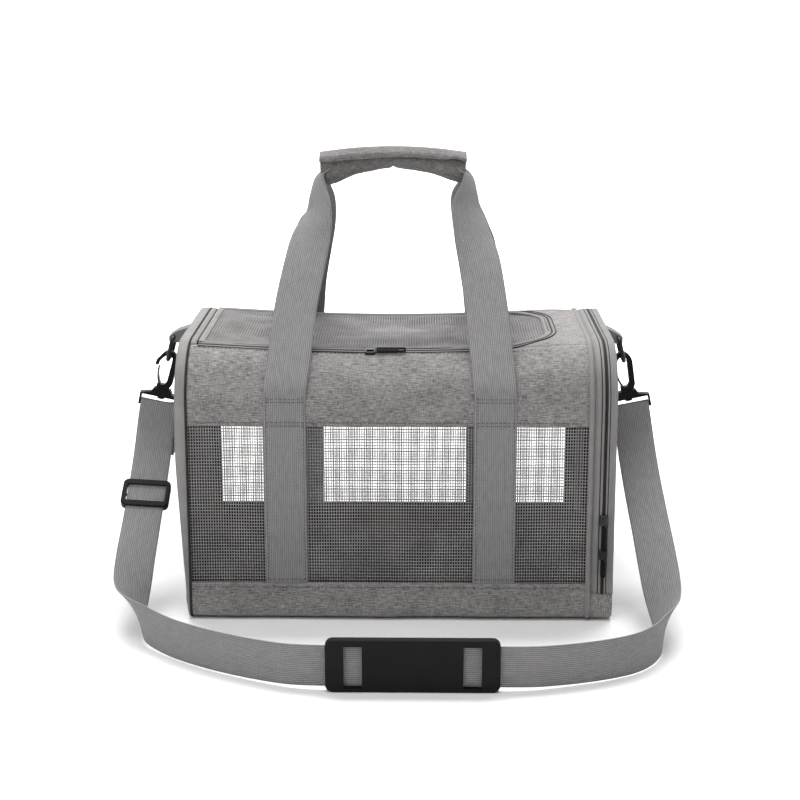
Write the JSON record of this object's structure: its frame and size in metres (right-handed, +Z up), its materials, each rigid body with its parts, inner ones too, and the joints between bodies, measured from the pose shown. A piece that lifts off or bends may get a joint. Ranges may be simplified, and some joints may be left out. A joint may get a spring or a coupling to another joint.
{
  "type": "pet carrier bag",
  "caption": "Soft-sided pet carrier with mesh windows, a zipped top flap and end door, carry handles joined by a grip wrap, and a clip-on padded shoulder strap.",
  "frame": {"origin": "on the floor under the middle of the bag, with its shoulder strap left out", "axes": "+X along the bag towards its zipped end door, -Y towards the front with the zip pulls, +Z up"},
  "size_m": [0.5777, 0.468, 0.463],
  "materials": {
    "mesh_net": "open rectangular net of grey polyester thread",
    "heathered_fabric": "heathered linen-look polyester",
    "end_fabric": "smooth light grey polyester",
    "smooth_binding": "smooth grey binding tape",
    "handle_webbing": "ribbed polypropylene webbing",
    "strap_webbing": "ribbed dark grey webbing",
    "zip_coil": "nylon coil zip",
    "slider_metal": "black enamelled die-cast zinc",
    "pull_rubber": "moulded black rubber",
    "pad_rubber": "fine-grained black rubber",
    "spring_steel": "spring steel wire",
    "board": "stiff board covered in cloth",
    "fleece": "short-pile fleece",
    "foot_plastic": "moulded black feet",
    "black_plastic": "moulded black acetal, half gloss"
  },
  "bodies": {
    "carrier": {"base_board": "board", "base_panel": "end_fabric", "door_zip_fixed_half": "zip_coil", "feet": "foot_plastic", "fleece_mat": "fleece", "front_lower_band": "heathered_fabric", "front_mesh_window": "mesh_net", "front_sewn_straps": "handle_webbing", "front_upper_panel": "heathered_fabric", "left_d_ring": "black_plastic", "left_d_ring_tab": "handle_webbing", "left_end_panel": "end_fabric", "left_frame_wire": "spring_steel", "left_gusset": "smooth_binding", "left_hook_base": "black_plastic", "left_piping": "smooth_binding", "rear_lower_band": "heathered_fabric", "rear_mesh_window": "mesh_net", "rear_sewn_straps": "handle_webbing", "rear_upper_panel": "heathered_fabric", "right_frame_wire": "spring_steel", "right_gusset_bottom": "smooth_binding", "right_gusset_front": "smooth_binding", "right_gusset_rear": "smooth_binding", "right_gusset_top": "smooth_binding", "right_piping": "smooth_binding", "strap_floor_run": "strap_webbing", "strap_left_hang": "strap_webbing", "strap_left_return": "strap_webbing", "top_end_panel": "heathered_fabric", "top_hinge_tape": "smooth_binding", "top_zip_fixed_half": "zip_coil"},
    "top_flap": {"top_flap_border": "smooth_binding", "top_flap_mesh": "mesh_net", "top_zip_flap_half": "zip_coil"},
    "front_handle": {"front_handle_webbing": "handle_webbing", "grip_wrap_front": "heathered_fabric"},
    "rear_handle": {"rear_handle_webbing": "handle_webbing", "grip_wrap_rear": "heathered_fabric"},
    "end_door": {"end_door_panel": "end_fabric", "end_door_binding": "smooth_binding", "door_zip_door_half": "zip_coil", "right_d_ring": "black_plastic", "right_d_ring_tab": "handle_webbing", "right_hook_base": "black_plastic", "strap_right_hang": "strap_webbing"},
    "top_slider": {"top_zip_slider": "slider_metal"},
    "top_pull": {"top_zip_pull": "pull_rubber"},
    "door_slider_upper": {"door_zip_slider_upper": "slider_metal"},
    "door_pull_upper": {"door_zip_pull_upper": "pull_rubber"},
    "door_slider_lower": {"door_zip_slider_lower": "slider_metal"},
    "door_pull_lower": {"door_zip_pull_lower": "pull_rubber"},
    "left_hook": {"left_hook": "black_plastic"},
    "left_gate": {"left_hook_gate": "black_plastic"},
    "right_hook": {"right_hook": "black_plastic"},
    "right_gate": {"right_hook_gate": "black_plastic"},
    "shoulder_pad": {"shoulder_pad": "pad_rubber"},
    "strap_adjuster": {"strap_adjuster": "black_plastic"}
  },
  "joints": [
    {"name": "top_flap_hinge", "type": "hinge", "parent": "carrier", "child": "top_flap", "pos_m": [-0.2, 0, 0.281], "axis": [0, -1, 0], "range_deg": [0, 100]},
    {"name": "front_handle_fold", "type": "hinge", "parent": "carrier", "child": "front_handle", "pos_m": [0, -0.1411, 0.242], "axis": [1, 0, 0], "range_deg": [0, 140]},
    {"name": "rear_handle_fold", "type": "hinge", "parent": "carrier", "child": "rear_handle", "pos_m": [0, 0.1411, 0.242], "axis": [-1, 0, 0], "range_deg": [0, 140]},
    {"name": "end_door_hinge", "type": "hinge", "parent": "carrier", "child": "end_door", "pos_m": [0.221, 0, 0.012], "axis": [0, 1, 0], "range_deg": [0, 78]},
    {"name": "top_zip_travel", "type": "slide", "parent": "carrier", "child": "top_slider", "axis": [1, 0, 0], "range_m": [-0.045, 0.06]},
    {"name": "top_pull_swing", "type": "hinge", "parent": "top_slider", "child": "top_pull", "pos_m": [-0.0182, -0.1038, 0.28267], "axis": [0, -0.933, -0.36], "range_deg": [0, 90]},
    {"name": "door_zip_travel_upper", "type": "slide", "parent": "carrier", "child": "door_slider_upper", "axis": [0, 0, 1], "range_m": [0, 0.1]},
    {"name": "door_pull_swing_upper", "type": "hinge", "parent": "door_slider_upper", "child": "door_pull_upper", "pos_m": [0.2115, -0.1461, 0.1022], "axis": [-1, 0, 0], "range_deg": [0, 90]},
    {"name": "door_zip_travel_lower", "type": "slide", "parent": "carrier", "child": "door_slider_lower", "axis": [0, 0, -1], "range_m": [0, 0.014]},
    {"name": "door_pull_swing_lower", "type": "hinge", "parent": "door_slider_lower", "child": "door_pull_lower", "pos_m": [0.2115, -0.1461, 0.0662], "axis": [-1, 0, 0], "range_deg": [0, 90]},
    {"name": "left_hook_swivel", "type": "hinge", "parent": "carrier", "child": "left_hook", "pos_m": [-0.25084, 0, 0.20998], "axis": [0.2079, 0, 0.9781], "range_deg": [-10, 10]},
    {"name": "left_gate_press", "type": "hinge", "parent": "left_hook", "child": "left_gate", "pos_m": [-0.25235, 0, 0.21541], "axis": [0, 1, 0], "range_deg": [0, 22], "stiffness_Nm_per_rad": 0.02, "springref_deg": -11.46},
    {"name": "right_hook_swivel", "type": "hinge", "parent": "end_door", "child": "right_hook", "pos_m": [0.24791, 0, 0.20935], "axis": [-0.2079, 0, 0.9781], "range_deg": [-10, 10]},
    {"name": "right_gate_press", "type": "hinge", "parent": "right_hook", "child": "right_gate", "pos_m": [0.24433, 0, 0.2137], "axis": [0, 1, 0], "range_deg": [0, 22], "stiffness_Nm_per_rad": 0.02, "springref_deg": -11.46},
    {"name": "shoulder_pad_travel", "type": "slide", "parent": "carrier", "child": "shoulder_pad", "axis": [1, 0, 0], "range_m": [-0.0025, 0.008]},
    {"name": "strap_adjuster_travel", "type": "slide", "parent": "carrier", "child": "strap_adjuster", "axis": [-0.0369, -0.7971, -0.6027], "range_m": [-0.008, 0.008]}
  ],
  "couplings": [
    {"joint": "front_handle_fold", "follows": "top_flap_hinge", "ratio": 1.4},
    {"joint": "rear_handle_fold", "follows": "top_flap_hinge", "ratio": 1.4}
  ]
}
